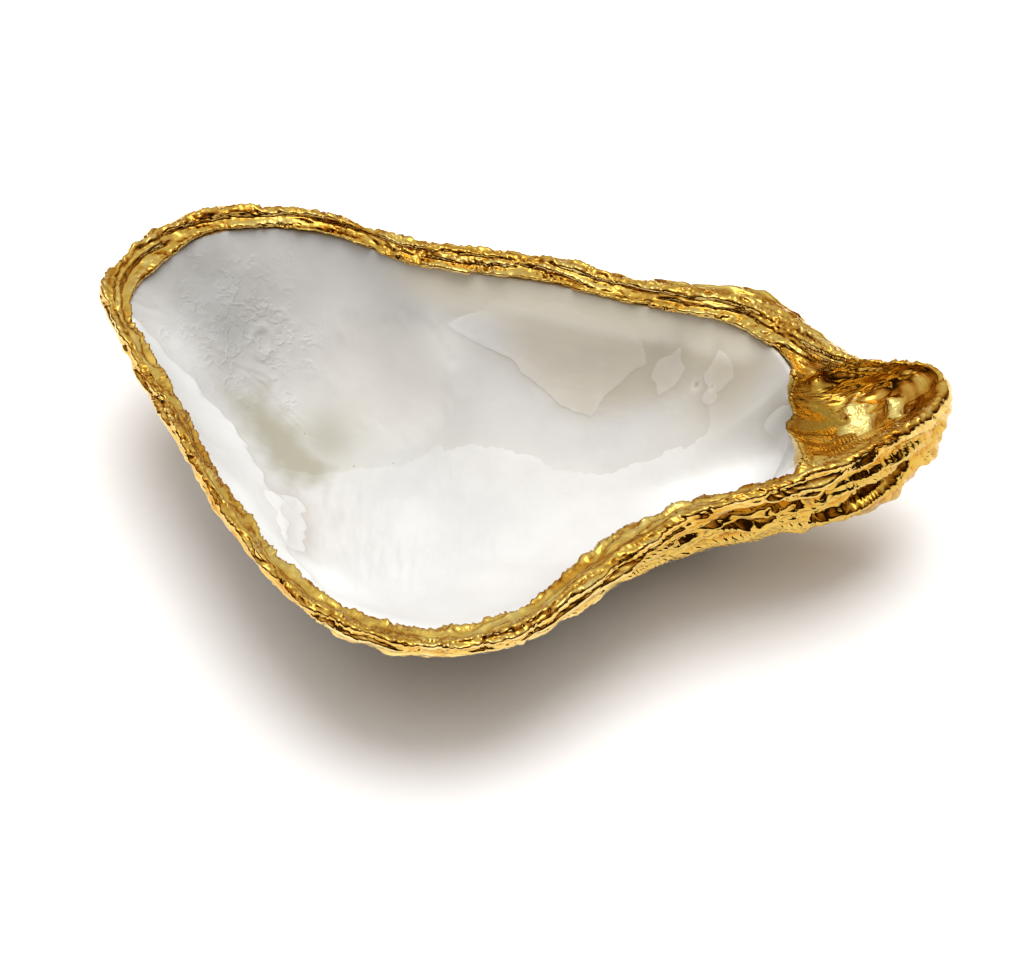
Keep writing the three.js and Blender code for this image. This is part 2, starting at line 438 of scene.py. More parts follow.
def cloud_group():
    """Two layers of noise, as masks: broad clouds and fine specks."""
    tree = bpy.data.node_groups.new("clouds", "ShaderNodeTree")
    for key in ("Broad size", "Fine size", "Seed"):
        tree.interface.new_socket(key, in_out="INPUT", socket_type="NodeSocketFloat")
    for key in ("Broad", "Fine"):
        tree.interface.new_socket(key, in_out="OUTPUT", socket_type="NodeSocketFloat")
    given = node(tree, "NodeGroupInput").outputs
    place_mm = place_in_mm(tree)
    broad = noise(tree, place_mm, 4.0, math(tree, "DIVIDE", 1.0, given["Broad size"]), 0.55, given["Seed"])
    fine = noise(tree, place_mm, 3.0, math(tree, "DIVIDE", 1.0, given["Fine size"]), 0.6, given["Seed"])
    node(tree, "NodeGroupOutput", {"Broad": ramp(tree, broad, 0.3, 0.7), "Fine": fine})
    return tree


CLOUDS = cloud_group()
print("clouds:", len(CLOUDS.nodes), "nodes")

# %% Helpers for finishes


def clouds(tree, broad, fine, seed):
    sizes = {"Broad size": broad, "Fine size": fine, "Seed": seed}
    made = node(tree, "ShaderNodeGroup", node_tree=CLOUDS)
    for key, value in sizes.items():
        made.inputs[key].default_value = value
    return made.outputs["Broad"], made.outputs["Fine"]


def finish(name, **constants):
    """A material with one shader, whose constant settings are given by socket name."""
    material = bpy.data.materials.new(name)
    material.use_nodes = True
    tree = material.node_tree
    shader = next(n for n in tree.nodes if n.type == "BSDF_PRINCIPLED")
    for key, value in constants.items():
        shader.inputs[key.replace("_", " ")].default_value = value
    return material, tree, shader


def dress(tree, shader, colour, roughness, height, strength, depth):
    """Links what changes over the surface: colour, roughness, and a bump of a depth in mm."""
    relief = node(tree, "ShaderNodeBump", {"Height": height, "Strength": strength, "Distance": depth * MM})
    for key, value in (("Base Color", colour), ("Roughness", roughness), ("Normal", relief.outputs[0])):
        tree.links.new(value, shader.inputs[key])


def colour_mix(tree, share, first, second):
    """Colour between two, each a plain colour or another node's output."""
    made = node(tree, "ShaderNodeMix", data_type="RGBA")
    for socket, value in ((made.inputs[0], share), (made.inputs[6], first), (made.inputs[7], second)):
        if isinstance(value, bpy.types.NodeSocket):
            tree.links.new(value, socket)
        elif isinstance(value, tuple):
            socket.default_value = (*value, 1)
        else:
            socket.default_value = value
    return made.outputs[2]


def tinted(tree, colour, *tints):
    """The colour with tints laid over it, each with its own share."""
    for share, tint in tints:
        colour = colour_mix(tree, share, colour, tint)
    return colour


def mask(tree, name, output="Fac"):
    """A named attribute of the skin, as a number."""
    return node(tree, "ShaderNodeAttribute", attribute_name=name).outputs[output]


def cells_apart(tree, vector, scale):
    """Distance to the nearest of many scattered points."""
    return node(tree, "ShaderNodeTexVoronoi", {"Vector": vector, "Scale": scale}).outputs["Distance"]


# %% Pearl colours
PEARL_WHITE = (0.79, 0.795, 0.785)
PEARL_BASE = (0.54, 0.54, 0.53)
PEARL_ROSE = (0.55, 0.535, 0.52)
# Dark grey: the chalky zone's own grey, and painted shade on the far wall.
PEARL_GREY_AND_PAINTED_SHADE = (0.29, 0.287, 0.277)
# Cream, kept this bright as painted light on the far wall under the far rim.
PEARL_CREAM = (0.80, 0.75, 0.62)
# Warm darker tone: partly the pearl's own, partly painted shade.
PEARL_WARM_AND_PAINTED_SHADE = (0.45, 0.395, 0.29)
PEARL_DIM = (0.40, 0.355, 0.285)
PEARL_OLIVE = (0.32, 0.30, 0.225)
PEARL_TAN = (0.36, 0.26, 0.17)
PEARL_CLOUDS, BLUSH_CLOUDS = (9.0, 1.1, 3.0), (17.0, 0.4, 6.0)    # broad and fine size in mm, and a seed
WHITE_IN_CLOUDS, TAN_SHARE = 0.2, 0.6
PEARL_ROUGH, ROUGHER_IN_CLOUDS = 0.33, 0.12
SHEET_UNEVEN = 0.9                         # how far a sheet's edge wanders, in mm
PALE_REACH, DIM_REACH = 5.0, 4.0           # how far its paler and its dimmer side show, in mm
PEARL_SHEETS = [("leaf", 0.15, 0.3), ("mound", 0.3, 0.22), ("margin", 0.3, 0.2), ("flake", 0.2, 0.3),
                ("patch", 0.15, 0.3)]      # how much paler just inside the edge, and dimmer just outside it
WORM_WIDTH = 0.08
WORMS = [(2.4, 1.0, 0.6, (0.35, 4.0, 0.42, 0.58)),      # size in mm, seed and height, and the noise that says
         (1.4, 2.0, 0.4, (0.4, 5.0, 0.45, 0.6))]        # where they are: scale, seed, and from and to


def sheet_edge(tree, name, uneven, clear):
    """Masks for a sheet of pearl: inside its edge, palest just inside, and dimmest just outside."""
    depth = add(tree, mask(tree, name + "_in"), uneven)
    shown = times(tree, clear, mask(tree, name + "_seen"))
    inside = ramp(tree, depth, -0.06, 0.06)
    pale = times(tree, inside, math(tree, "POWER", ramp(tree, depth, 0.0, PALE_REACH, 1.0, 0.0), 1.5))
    dim = times(tree, rest(tree, inside), math(tree, "POWER", ramp(tree, depth, -DIM_REACH, 0.0), 2.5))
    return times(tree, inside, shown), times(tree, pale, shown), times(tree, dim, shown)


def worm_lines(tree, place_mm, size, seed, where):
    """Thin wandering lines on the chalky patches, about one for each size in mm, in places."""
    scale, place_seed, low, high = where
    away = math(tree, "ABSOLUTE", swing(tree, place_mm, 2.0, 1 / size, 0.5, seed))
    here = ramp(tree, noise(tree, place_mm, 1.0, scale, 0.5, place_seed), low, high)
    return times(tree, ramp(tree, away, 0.0, WORM_WIDTH, 1.0, 0.0), here, mask(tree, "chalk"))


print("pearl sheets:", [name for name, _, _ in PEARL_SHEETS])

# %% Pearl


def pearl_finish():
    material, tree, shader = finish("pearl", IOR=1.53, Specular_IOR_Level=0.3)
    place_mm = place_in_mm(tree)
    broad, fine = clouds(tree, *PEARL_CLOUDS)
    blush, _ = clouds(tree, *BLUSH_CLOUDS)
    streaks = ramp(tree, noise(tree, mask(tree, "wall", "Vector"), 3.0, 1.0, 0.6, 9.0), 0.45, 0.68)
    # The white mask is partly the pearl's own white and partly painted light on walls that face the light.
    white = add(tree, mask(tree, "white"), times(tree, broad, WHITE_IN_CLOUDS))
    colour = tinted(tree, PEARL_BASE, (blush, PEARL_ROSE), (mask(tree, "grey_and_painted_shade"), PEARL_GREY_AND_PAINTED_SHADE),
                    (white, PEARL_WHITE), (mask(tree, "cream"), PEARL_CREAM),
                    (mask(tree, "olive"), PEARL_OLIVE),
                    (times(tree, mask(tree, "streak"), streaks), PEARL_CREAM),
                    (mask(tree, "warm_and_painted_shade"), PEARL_WARM_AND_PAINTED_SHADE))
    uneven = times(tree, swing(tree, place_mm, 3.0, 0.7, 0.6, 31.0), SHEET_UNEVEN)
    clear = ramp(tree, noise(tree, place_mm, 1.0, 0.09, 0.5, 51.0), 0.38, 0.6, 0.5, 1.0)
    steps = 0.0
    for name, paler, dimmer in PEARL_SHEETS:
        inside, pale, dim = sheet_edge(tree, name, uneven, clear)
        colour = tinted(tree, colour, (times(tree, dim, dimmer), PEARL_DIM),
                        (times(tree, pale, paler), PEARL_WHITE))
        steps = add(tree, steps, inside)
    pit_away = mask(tree, "pit_away")
    holes = ramp(tree, cells_apart(tree, place_mm, 0.35), 0.03, 0.08, 1.0, 0.0)
    holes = times(tree, holes, mask(tree, "pitted"))
    colour = tinted(tree, colour, (ramp(tree, pit_away, 0.5, 1.3, 0.15, 0.0), PEARL_WHITE),
                    (ramp(tree, pit_away, 0.2, 0.45, 0.5, 0.0), PEARL_TAN),
                    (times(tree, larger(tree, mask(tree, "line"), holes), TAN_SHARE), PEARL_TAN))
    worms = [(worm_lines(tree, place_mm, size, seed, where), height) for size, seed, height, where in WORMS]
    height = layers(tree, *worms, (steps, 0.25), (fine, 0.12), (holes, -1.0))
    rough = add(tree, PEARL_ROUGH, times(tree, broad, ROUGHER_IN_CLOUDS))
    dress(tree, shader, colour, rough, height, 0.4, 0.3)
    return material


PEARL = pearl_finish()
print("finish:", PEARL.name)

# %% Crust
CRUST_PALE = (0.62, 0.57, 0.50)
CRUST_GREY = (0.36, 0.33, 0.29)
CRUST_BROWN = (0.14, 0.095, 0.08)
CRUST_CLOUDS, CRUST_ROUGH = (7.0, 0.9, 8.0), (0.65, 0.9)
BROWN_SHARE, BROWN_IN_BANDS, EDGE_PALE = 0.3, 0.6, 0.7


def crust_finish():
    material, tree, shader = finish("crust", IOR=1.5)
    broad, fine = clouds(tree, *CRUST_CLOUDS)
    brown = times(tree, broad, add(tree, BROWN_SHARE, times(tree, mask(tree, "band"), BROWN_IN_BANDS)))
    colour = tinted(tree, CRUST_GREY, (ramp(tree, fine, 0.3, 0.7), CRUST_PALE), (brown, CRUST_BROWN),
                    (times(tree, mask(tree, "layer_edge"), EDGE_PALE), CRUST_PALE))
    dress(tree, shader, colour, ramp(tree, fine, 0.2, 0.8, *CRUST_ROUGH), fine, 0.5, 0.6)
    return material


CRUST = crust_finish()
print("finish:", CRUST.name)

# %% Gilding
GOLD = (0.82, 0.56, 0.15)
# Painted highlight: paler gold where highlights fall.
GOLD_PALE_PAINTED_HIGHLIGHT = (0.86, 0.69, 0.29)             # on the crests of ridges and on the hinge plate's flats
# Painted shade: darker gold on the beak's steep wall.
GOLD_WALL_PAINTED_SHADE = (0.60, 0.39, 0.07)             # on the beak's steep wall
# Painted shade: darker, more orange gold in grooves, cracks and folds; the clouds add some at random.
GOLD_DEEP_PAINTED_SHADE = (0.52, 0.22, 0.010)            # in grooves
GOLD_DULL = (0.42, 0.245, 0.04)            # on the hinge plate's rougher half
GOLD_CLOUDS, GOLD_ROUGH, DULL_ROUGH = (5.0, 0.5, 5.0), (0.03, 0.09), 0.06
WALL_SHARE, DEEP_IN_CLOUDS = 0.8, 0.3
STRIPE_SIDE, STRIPE_SPACING = (1.0, 0.35, 0.0), 0.6
STREAK_SIZE = (2.5, 2.5, 0.3)              # streaks run along the rim


def gilding_finish():
    material, tree, shader = finish("gilding", Metallic=1.0)
    place_mm = place_in_mm(tree)
    broad, fine = clouds(tree, *GOLD_CLOUDS)
    dull, flaked = mask(tree, "dull"), mask(tree, "flaked")
    # Paler gold is a painted highlight; the darker gold of the wall and the grooves is painted shade.
    colour = tinted(tree, GOLD, (larger(tree, mask(tree, "crest"), flaked), GOLD_PALE_PAINTED_HIGHLIGHT),
                    (times(tree, mask(tree, "steep"), WALL_SHARE), GOLD_WALL_PAINTED_SHADE),
                    (larger(tree, mask(tree, "groove_painted_shade"), times(tree, broad, DEEP_IN_CLOUDS)), GOLD_DEEP_PAINTED_SHADE),
                    (times(tree, dull, ramp(tree, fine, 0.35, 0.65, 1.0, 0.75)), GOLD_DULL))
    rough = add(tree, ramp(tree, fine, 0.3, 0.8, *GOLD_ROUGH), times(tree, dull, DULL_ROUGH))
    specks = times(tree, ramp(tree, cells_apart(tree, place_mm, 1.1), 0.05, 0.25, 1.0, 0.0), dull)
    bend = times(tree, noise(tree, place_mm, 1.0, 0.3, 0.5, 7.0), 2.0)
    slant = times(tree, add(tree, toward(tree, place_mm, STRIPE_SIDE), bend), 2 * np.pi / STRIPE_SPACING)
    stripes = times(tree, math(tree, "SINE", slant), mask(tree, "striated"))
    along = stretch(tree, mask(tree, "band", "Vector"), STREAK_SIZE)
    streaks = times(tree, noise(tree, along, 2.0, seed=12.0), mask(tree, "ridged"))
    crumple = times(tree, noise(tree, place_mm, 2.0, 1.3, 0.6, 13.0), flaked)
    height = layers(tree, (fine, 0.12), (specks, 0.5), (stripes, 0.5), (streaks, 0.45), (crumple, 1.0))
    dress(tree, shader, colour, rough, height, 0.8, 0.2)
    return material


GILDING = gilding_finish()
print("finish:", GILDING.name)

# %% [markdown]
# ## The pearl inside
# The inside of an oyster isn't one smooth bowl. Thin sheets of pearl end in sharp, wandering edges, the
# muscle leaves a round scar, and chalky patches are crinkled. Each sheet is drawn as an outline in plan,
# in millimetres, with a wobble on its edge. The small crinkles and ripples come from Geometry Nodes.

# %% Outlines of the pearl's sheets
LEAF_SHEET = [(-11.2, 25.2), (-7.5, 26.4), (-3, 26.6), (6, 25.3), (15.6, 22), (17.8, 20), (18.3, 17.8),
              (13.5, 16.1), (10.3, 13.1), (6.1, 14.8), (3, 17.1), (-1.5, 20.8), (-7.5, 23.4)]
MOUND = [(-48, -2), (-36, 2.5), (-33, 4), (-28.7, 5.7), (-24, 7.5), (-18, 8.2), (-13, 10.4), (-7.6, 10.3),
         (-3, 10.1), (5.8, 7), (12, 5.4), (18, 6.5), (22.4, 7.2), (28, 7.7), (28.4, 9.5), (27.6, 11.5),
         (31, 11), (36, 9.5), (46, 6), (46, -12), (20, -28), (0, -44), (-20, -48), (-50, -40)]
MARGIN_SHEET = [(-60, 20), (-55, 18), (-48.3, 12.7), (-44.3, 10.5), (-41.5, 5.6), (-37.3, -2.6),
                (-34.7, -4.9), (-33.4, -19.7), (-28, -27), (-30, -40), (-60, -20), (-66, 10)]
FLAKE_SHEET = [(-37.5, -4.7), (-32.8, -2), (-31.4, -7.3), (-31.3, -16.6), (-33.5, -17.8), (-36, -8.7)]
OLIVE_VALLEY = [(-44.5, 15), (-39, 17.5), (-33.4, 13.8), (-26.5, 7.2), (-28.6, 2.4), (-34.3, -1.8),
                (-38.6, 4), (-42, 10)]
SCAR = [(-26.4, 27.5), (-29, 21.2), (-26.5, 14.5), (-16.6, 12.2), (-12, 13.8), (-9.7, 21.6), (-15, 27)]
SHEET_RELIEF = [("leaf", LEAF_SHEET, 0.06, 0.5, 0.3, 11), ("flake", FLAKE_SHEET, 0.06, 0.5, 0.5, 51),
                ("mound", MOUND, 0.1, 2.5, 0.6, 21), ("margin", MARGIN_SHEET, 0.2, 1.2, 0.7, 31),
                ("olive", OLIVE_VALLEY, -0.2, 8, 0.7, 35), ("scar", SCAR, -0.15, 3, 0.8, 71)]
# Each has its outline, its height, the width of its edge, how ragged that is, and a seed.
CREASE = [(-58, 22.6), (-54, 22.9), (-48.5, 21.6), (-42.8, 19.3), (-38.2, 18.3), (-35.6, 15.1), (-29.9, 10.9),
          (-25, 8.8), (-15.7, 8.6)]
SMALL_PATCHES = [(21.8, 16.3, 2.0), (29.3, 14.6, 2.0), (28, 12.2, 0.9)]   # x, y and size
PITS = [(25.9, 14.1, 1.0), (28.2, 13.3, 0.7)]                             # x, y and size
BLISTER_X, BLISTER_Y, BLISTER_SIZE = -39, 23.7, 1.5
print("outlines:", {name: len(outline) for name, outline, *_ in SHEET_RELIEF})

# %% Measures in plan


def wobble(x, y, size, seed):
    """Smooth uneven waves over the plan, about -1 to 1."""
    draw = np.random.default_rng(seed)
    total = np.zeros_like(x)
    for _ in range(7):
        turn, start = draw.uniform(0, 2 * np.pi, 2)
        wave = 2 * np.pi / (size * draw.uniform(0.8, 2.2))
        total += np.sin(wave * (x * np.cos(turn) + y * np.sin(turn)) + start)
    return total / 3.5


def distance_to(points, x, y):
    """Distance to a line through points in plan."""
    nearest = np.full_like(x, np.inf)
    for (x0, y0), (x1, y1) in zip(points, points[1:]):
        run, rise = x1 - x0, y1 - y0
        along = np.clip(((x - x0) * run + (y - y0) * rise) / (run ** 2 + rise ** 2), 0, 1)
        nearest = np.minimum(nearest, np.hypot(x - x0 - along * run, y - y0 - along * rise))
    return nearest


def depth_inside(outline, x, y):
    """Distance in from a closed outline, negative outside it."""
    within = np.zeros(x.shape, bool)
    for (x0, y0), (x1, y1) in zip(outline, outline[1:] + outline[:1]):
        rise = y1 - y0 if y1 != y0 else 1e-9
        within ^= ((y0 > y) != (y1 > y)) & (x < (x1 - x0) * (y - y0) / rise + x0)
    nearest = distance_to(outline + outline[:1], x, y)
    return np.where(within, nearest, -nearest)


def bump(away, width):
    """1 at no distance, and falling off like a bell."""
    return np.exp(-(away / width) ** 2)


def spot(x, y, middle_x, middle_y, size):
    return bump(np.hypot(x - middle_x, y - middle_y), size)


def strongest(*values):
    return np.maximum.reduce(values)


# %% The pearl's surface
PEARL_COLUMNS, PEARL_ROWS, PEARL_BACK_ROWS = 680, 134, 8
PEARL_EVENING = 16            # columns that the hollow is evened over
PEARL_THICK = 1.2


def evened(rows):
    """Rows of points evened out along the rim, so that no folds run down the hollow from its corners."""
    step = np.arange(rows.shape[1])
    away = np.minimum(step, rows.shape[1] - step)
    weight = bump(away, PEARL_EVENING)
    spread = np.fft.fft(weight / weight.sum())[None, :, None]
    return np.real(np.fft.ifft(np.fft.fft(rows, axis=1) * spread, axis=1))


c = rim_columns(PEARL_COLUMNS)
share = np.linspace(0.004, 1, PEARL_ROWS)[:, None] ** 0.85
out_share = share * (1 - PEARL_SHORT * hinge(c) / c.inside)
rows = np.array([hollow(c, t) for t in out_share])
rows += (evened(rows) - rows) * smooth((1 - share) / 0.3)[..., None]
under_lip = place(c, c.inside + 0.4, c.edge - PEARL_THICK - hinge(c))
back = [hollow(c, t) - [0, 0, PEARL_THICK] for t in np.linspace(0.98, 0.02, PEARL_BACK_ROWS)]
rows = np.vstack([rows, [under_lip], back])
x, y = rows[..., 0], rows[..., 1]
from_rim = np.zeros(x.shape)
from_rim[:PEARL_ROWS] = (out_share[-1] - out_share) * c.inside
visible = smooth(from_rim / 0.4)
print("pearl rows and columns:", rows.shape[:2])

# %% Heights of the sheets, the pits, the blister and the crease
sheets = np.zeros(x.shape)
sheets[:PEARL_ROWS] = -0.6 * (1 - visible[:PEARL_ROWS])      # its border dips under the plating
seen = {name: np.ones_like(x) for name, _, _ in PEARL_SHEETS}
seen["leaf"] = 1 - 0.75 * smooth((y + 0.25 * x - 23.5) / 1.5)
seen["mound"] = 0.35 + 0.65 * strongest(spot(x, y, -5, 10, 8), spot(x, y, 20, 7, 9))
seen["mound"] *= 1 - smooth((x - 28) / 2.5)
depths = {}
for name, outline, height, edge, ragged, seed in SHEET_RELIEF:
    uneven = wobble(x, y, 3.5, seed) + 0.3 * wobble(x, y, 1.4, seed + 1)
    depths[name] = depth_inside(outline, x, y) + ragged * uneven
    sheets += height * seen.get(name, 1) * smooth(depths[name] / edge + 0.5)
depths["patch"] = strongest(*(size - np.hypot(x - patch_x, y - patch_y) - 0.5 * wobble(x, y, 2.5, 60 + i)
                              for i, (patch_x, patch_y, size) in enumerate(SMALL_PATCHES)))
depths["patch"] = np.maximum(depths["patch"], -9)
sheets += 0.04 * smooth(depths["patch"] / 0.5 + 0.5)
pit_away = np.minimum.reduce([np.hypot(x - pit_x, y - pit_y) / size for pit_x, pit_y, size in PITS])
pit_away = np.minimum(pit_away, 9)
sheets -= 0.2 * bump(pit_away, 0.4)
blister = np.hypot(x - BLISTER_X, (y - BLISTER_Y) * 0.8) + 0.25 * wobble(x, y, 2, 70)
sheets += 0.25 * bump(blister - BLISTER_SIZE, 0.45)
crease = distance_to(CREASE, x, y) + 0.5 * wobble(x, y, 5, 74)
crease_fade = smooth((-26 - x) / 8)
sheets += crease_fade * (0.25 * bump(crease, 1.3) - 0.2 * bump(crease - 0.2, 0.35))
line = strongest(0.1 * bump(depths["flake"] + 0.3, 0.4), 0.2 * crease_fade * bump(crease, 0.4))
print("sheets, mm:", round(float(sheets[:PEARL_ROWS].min()), 2), "to", round(float(sheets.max()), 2))

# %% Where the pearl is white, grey, cream, warm and olive, and where light and shade are painted
# Spots of painted light: white laid on walls and folds that face the light, to brighten them.
PAINTED_LIGHT_SPOTS = [(0.95, 31, 3.5, 8), (0.7, 27, 2, 7), (0.6, -11, 25, 4), (0.4, -52, 19, 5),
               (0.8, -28, -22, 6)]         # strength, x, y and size
WALL_STREAK_TURN, WALL_STREAK_WIDE = 75, 1.6      # streaks along the wall: length times 2 pi, and width, in mm

chalk = smooth(1.6 - np.hypot((x + 42) / 9, (y - 23) / 9) + 0.25 * wobble(x, y, 5, 72))
ripple = smooth(1.5 - np.hypot((x + 17) / 16, (y + 6) / 12) + 0.2 * wobble(x, y, 5, 73))
on_margin = smooth(depths["margin"] / 3 + 0.5)
# Cream along the far rim, and painted light that lifts the wall the far rim shades.
far_cream_and_painted_light = smooth((7 - from_rim) / 5) * smooth((y - 10) / 8) * smooth((x + 25) / 15)
# Painted light: white along the near wall, which faces the light.
near_wall_painted_light = smooth((9 - from_rim) / 7) * smooth(-y / 10)
# White is the margin sheet's own pale tone, and painted light from the near wall and the spots.
white = strongest(0.4 * on_margin, 0.9 * near_wall_painted_light, *(
    strength * spot(x, y, middle_x, middle_y, size) for strength, middle_x, middle_y, size in PAINTED_LIGHT_SPOTS))
# Partly the chalky zone's own grey, partly painted shade on far walls that face away from the light.
grey_and_painted_shade = strongest(0.95 * spot(x, y, -46, 26, 11) * (1 - on_margin), 0.35 * spot(x, y, -14, 15, 13))
# Warm patches and leaf, and painted shade on the far right wall and beside the hinge plate.
warm_and_painted_shade = strongest(0.85 * spot(x, y, 31, 15, 8), 0.5 * spot(x, y, 37.5, 7.5, 3.5),
                 0.7 * smooth((x - 4) / 10) * smooth((y - 11) / 5), 0.6 * smooth(depths["patch"] / 2 + 0.3),
                 0.6 * smooth(depths["leaf"] / 1.5 + 0.5) * smooth((x + 6) / 8))
warm_and_painted_shade *= 1 - 0.8 * smooth(2 * far_cream_and_painted_light - 0.6)
# The olive valley's own tone, and a spot of painted shade at -29, 11.5 that darkens a bright slope.
olive = strongest(0.9 * smooth(depths["olive"] / 6 + 0.3), 0.7 * spot(x, y, -29, 11.5, 5))
cream = strongest(0.15 * smooth(depths["scar"] / 8 + 0.4), 0.9 * far_cream_and_painted_light)
streak = 0.3 * smooth((y - 0.02 * (x - 20) ** 2 - 8) / 6) * smooth((x + 6) / 8)
streak_round = c.rim_length / WALL_STREAK_TURN
wall = np.stack([streak_round * np.cos(c.turn) + 0 * x, streak_round * np.sin(c.turn) + 0 * x,
                 from_rim / WALL_STREAK_WIDE], -1)
pearl = skin("pearl_inside", rows, {
    "sheets": sheets, "chalk": chalk * visible, "ripple": ripple * visible, "visible": visible, "wall": wall,
    "white": white, "grey_and_painted_shade": grey_and_painted_shade, "cream": cream, "olive": olive, "warm_and_painted_shade": warm_and_painted_shade, "streak": streak,
    "pit_away": pit_away, "line": line * visible, "pitted": strongest(0.6 * chalk, bump(crease, 4)),
    **{name + "_in": depths[name] for name in seen}, **{name + "_seen": seen[name] for name in seen}})
print("pearl skin:", len(pearl.data.attributes), "attributes")

# %% Crinkles and ripples of the pearl
PEARL_RELIEF = {"Swell height": 0.5, "Crinkle height": 0.06, "Crinkle size": 3.4, "Ripple height": 0.68,
                "Ripple size": 1.7, "Grain height": 0.05}


def pearl_tree():
    tree, given = relief_tree("pearl_relief", PEARL_RELIEF)
    place_mm = point_in_mm(tree)
    visible_here = stored(tree, "visible")
    swell = swing(tree, stretch(tree, place_mm, (16, 16, 16)), 1.0, seed=1.0)
    crinkle_place = scaled(tree, place_mm, math(tree, "DIVIDE", 1.0, given["Crinkle size"]))
    fold = math(tree, "ABSOLUTE", swing(tree, crinkle_place, 2.5, seed=2.0))
    crinkle = ramp(tree, fold, 0.0, 0.12, 1.0, 0.0)
    ripple_place = stretch(tree, place_mm, (1, 4, 4))
    ripple_place = scaled(tree, ripple_place, math(tree, "DIVIDE", 1.0, given["Ripple size"]))
    ripples = swing(tree, ripple_place, 1.5, seed=3.0)
    grain = swing(tree, place_mm, 3.0, 0.9, 0.6, 4.0)
    height = add(tree, stored(tree, "sheets"),
                 times(tree, swell, given["Swell height"], visible_here),
                 times(tree, crinkle, given["Crinkle height"], stored(tree, "chalk")),
                 times(tree, ripples, given["Ripple height"], stored(tree, "ripple")),
                 times(tree, grain, given["Grain height"], visible_here))
    close_tree(tree, given, height)
    return tree


apply_relief(pearl, pearl_tree(), PEARL_RELIEF, PEARL)

# %% [markdown]
# ## The crust outside
# An oyster grows by adding a thin layer under the last one, each reaching a little further out. So the
# outside is a stack of shingles with frilled edges that face the rim. The solid has the large ones as
# ledges. Here the same ledges get frilled edges, and finer shingles lie between them.

# %% The crust's skin
CRUST_COLUMNS, CRUST_ROWS, CRUST_BACK_ROWS = 640, 138, 10
CRUST_TUCK, CRUST_THICK = 0.04, 1.2        # how far it reaches under the plating, as a share, and mm
CRUST_MIDDLE = 0.02                        # reach of the innermost row
GROWTH_X, GROWTH_Y = 48, 3                 # the shell grew from here, and its folds run out from here

c = rim_columns(CRUST_COLUMNS)
top = plating_end(c) + CRUST_TUCK
down = np.linspace(0, 1, CRUST_ROWS)[:, None]
up = np.linspace(0, 1, CRUST_BACK_ROWS)[:, None]
reach_here = np.vstack([CRUST_MIDDLE + (plating_end(c) - 0.03) * up, top + (CRUST_MIDDLE - top) * down])
rows = np.array([outside(c, q) for q in reach_here])
rows[:CRUST_BACK_ROWS, :, 2] += CRUST_THICK
layer_number = np.interp(reach_here, LAYER_EDGES, np.arange(len(LAYER_EDGES)))
visible = smooth((top - 0.02 - reach_here) / 0.14) * smooth((rows[..., 2] - 0.1) / 2.5)
sunk = -1.5 * smooth((reach_here - top + 0.025) / 0.02)
visible[:CRUST_BACK_ROWS] = sunk[:CRUST_BACK_ROWS] = 0
from_beak = np.hypot(rows[..., 0] - GROWTH_X, rows[..., 1] - GROWTH_Y)
bearing = np.arctan2(rows[..., 1] - GROWTH_Y, rows[..., 0] - GROWTH_X)
ray = np.stack([8 * np.cos(bearing), 8 * np.sin(bearing), 0.04 * from_beak], -1)
crust = skin("crust_outside", rows, {"layer_number": layer_number, "visible": visible, "ray": ray,
                                     "sunk": sunk})
print("crust rows and columns:", rows.shape[:2])

# %% Shingles of the crust
CRUST_RELIEF = {"Ledge height": 1.3, "Shingle height": 0.45, "Shingles a ledge": 4.0, "Fold height": 1.2,
                "Frill": 1.0, "Grain height": 0.25}


def crust_tree():
    tree, given = relief_tree("crust_relief", CRUST_RELIEF)
    place_mm = point_in_mm(tree)
    frill = swing(tree, stretch(tree, place_mm, (7, 7, 7)), 3.0, 1.0, 0.55, 11.0)
    number = add(tree, stored(tree, "layer_number"), times(tree, frill, given["Frill"]))
    ledge = math(tree, "FRACT", number)
    uneven = noise(tree, stretch(tree, place_mm, (12, 12, 12)), 2.0, seed=12.0)
    ledge_height = times(tree, ledge, given["Ledge height"], ramp(tree, uneven, 0.3, 0.7, 0.35, 1.1))
    finer = times(tree, add(tree, number, times(tree, frill, 0.4)), given["Shingles a ledge"])
    shingle = math(tree, "FRACT", finer)
    fold = swing(tree, stretch(tree, stored(tree, "ray", "FLOAT_VECTOR"), (1.2, 1.2, 1.2)), 2.0, seed=13.0)
    grain = swing(tree, place_mm, 3.0, 0.7, 0.6, 14.0)
    height = add(tree, ledge_height, times(tree, shingle, given["Shingle height"]),
                 times(tree, fold, given["Fold height"]), times(tree, grain, given["Grain height"]))
    height = add(tree, times(tree, height, stored(tree, "visible")), stored(tree, "sunk"))
    edge = larger(tree, ramp(tree, ledge, 0.75, 1.0), ramp(tree, shingle, 0.7, 1.0, 0.0, 0.7))
    band = ramp(tree, add(tree, fold, times(tree, frill, 0.6)), -0.05, 0.2)
    close_tree(tree, given, height, {"layer_edge": edge, "band": band})
    return tree


apply_relief(crust, crust_tree(), CRUST_RELIEF, CRUST)

# %% [markdown]
# ## The gilding
# The plating covers the rough rim like a thick skin: rounded ridges run along the rim, wander, merge and
# break up into nodules, with sharp grooves between them. The skin follows the solid's lip, the hinge plate
# and the beak. Its borders dip under the pearl and the crust, and the ragged line where it comes out is its
# visible edge. Distances along and across the band are stored in millimetres, so the ridges follow the rim.

# %% The band of the plating
GILT_COLUMNS, GILT_ROWS, GILT_BACK_ROWS = 1150, 80, 5
HOLLOW_STEPS, LIP_STEPS, SHOULDER_STEPS, OUTSIDE_STEPS = 9, 30, 15, 11     # steps of the path across it


